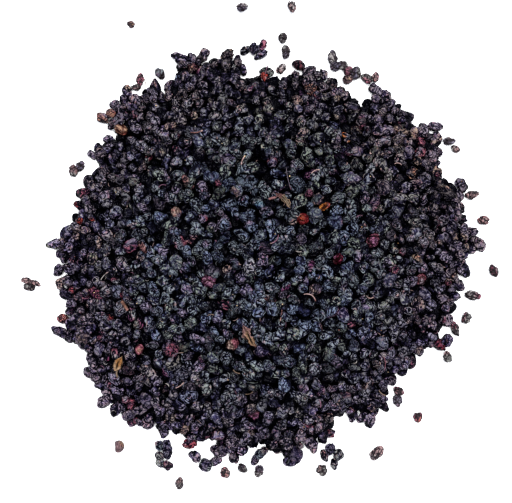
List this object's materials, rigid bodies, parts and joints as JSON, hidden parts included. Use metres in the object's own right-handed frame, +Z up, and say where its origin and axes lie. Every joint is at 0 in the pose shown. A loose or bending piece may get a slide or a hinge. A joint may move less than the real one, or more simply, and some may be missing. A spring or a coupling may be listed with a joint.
{
  "type": "elderberry cluster: a heap of dried elderberries",
  "caption": "Low round heap of wrinkled dried elderberries with loose berries scattered round it, a few red and rusty berries, dry leaf flakes and bits of berry stalk.",
  "frame": {"origin": "middle of the heap's flat foot, on the surface that it lies on", "axes": "+Z up, out of the top of the heap; +X and +Y level, +Y away from a viewer who stands in front"},
  "size_m": [0.1716, 0.1758, 0.0264],
  "materials": {
    "dark_berry_skin": "dried blue-black berry skin, deeply wrinkled, satin on its ridges with a faint grey-blue bloom",
    "red_berry_skin": "dried unripe berry skin, brick red, wrinkled, satin",
    "plum_berry_skin": "dried half-ripe berry skin, maroon to plum, wrinkled, satin",
    "rust_berry_skin": "dried pale berry skin, rusty orange-brown, shrivelled, matte",
    "dry_leaf": "crisp dry leaf, golden tan, matte",
    "berry_stalk": "thin dry berry stalk, pinkish tan with paler swollen tips, matte"
  },
  "bodies": {
    "root": {"dark_berry_heap": "dark_berry_skin", "leaf_flake_1": "dry_leaf", "leaf_flake_2": "dry_leaf", "leaf_flake_3": "dry_leaf", "loose_berry_1": "dark_berry_skin", "loose_berry_10": "dark_berry_skin", "loose_berry_11": "dark_berry_skin", "loose_berry_12": "dark_berry_skin", "loose_berry_13": "dark_berry_skin", "loose_berry_14": "dark_berry_skin", "loose_berry_15": "dark_berry_skin", "loose_berry_16": "dark_berry_skin", "loose_berry_17": "dark_berry_skin", "loose_berry_18": "dark_berry_skin", "loose_berry_19": "dark_berry_skin", "loose_berry_2": "dark_berry_skin", "loose_berry_20": "dark_berry_skin", "loose_berry_21": "dark_berry_skin", "loose_berry_22": "dark_berry_skin", "loose_berry_3": "dark_berry_skin", "loose_berry_4": "dark_berry_skin", "loose_berry_5": "dark_berry_skin", "loose_berry_6": "dark_berry_skin", "loose_berry_7": "dark_berry_skin", "loose_berry_8": "dark_berry_skin", "loose_berry_9": "dark_berry_skin", "loose_group_1": "dark_berry_skin", "loose_group_10": "dark_berry_skin", "loose_group_11": "dark_berry_skin", "loose_group_2": "dark_berry_skin", "loose_group_3": "dark_berry_skin", "loose_group_4": "dark_berry_skin", "loose_group_5": "dark_berry_skin", "loose_group_6": "dark_berry_skin", "loose_group_7": "dark_berry_skin", "loose_group_8": "dark_berry_skin", "loose_group_9": "dark_berry_skin", "plum_berry_1": "plum_berry_skin", "plum_berry_2": "plum_berry_skin", "plum_berry_3": "plum_berry_skin", "red_berry_1": "red_berry_skin", "red_berry_2": "red_berry_skin", "red_berry_3": "red_berry_skin", "red_berry_4": "red_berry_skin", "rust_berry_1": "rust_berry_skin", "rust_berry_2": "rust_berry_skin", "rust_berry_3": "rust_berry_skin", "rust_berry_4": "rust_berry_skin", "stalk_bit_1": "berry_stalk", "stalk_bit_10": "berry_stalk", "stalk_bit_11": "berry_stalk", "stalk_bit_2": "berry_stalk", "stalk_bit_3": "berry_stalk", "stalk_bit_4": "berry_stalk", "stalk_bit_5": "berry_stalk", "stalk_bit_6": "berry_stalk", "stalk_bit_7": "berry_stalk", "stalk_bit_8": "berry_stalk", "stalk_bit_9": "berry_stalk"}
  },
  "joints": []
}
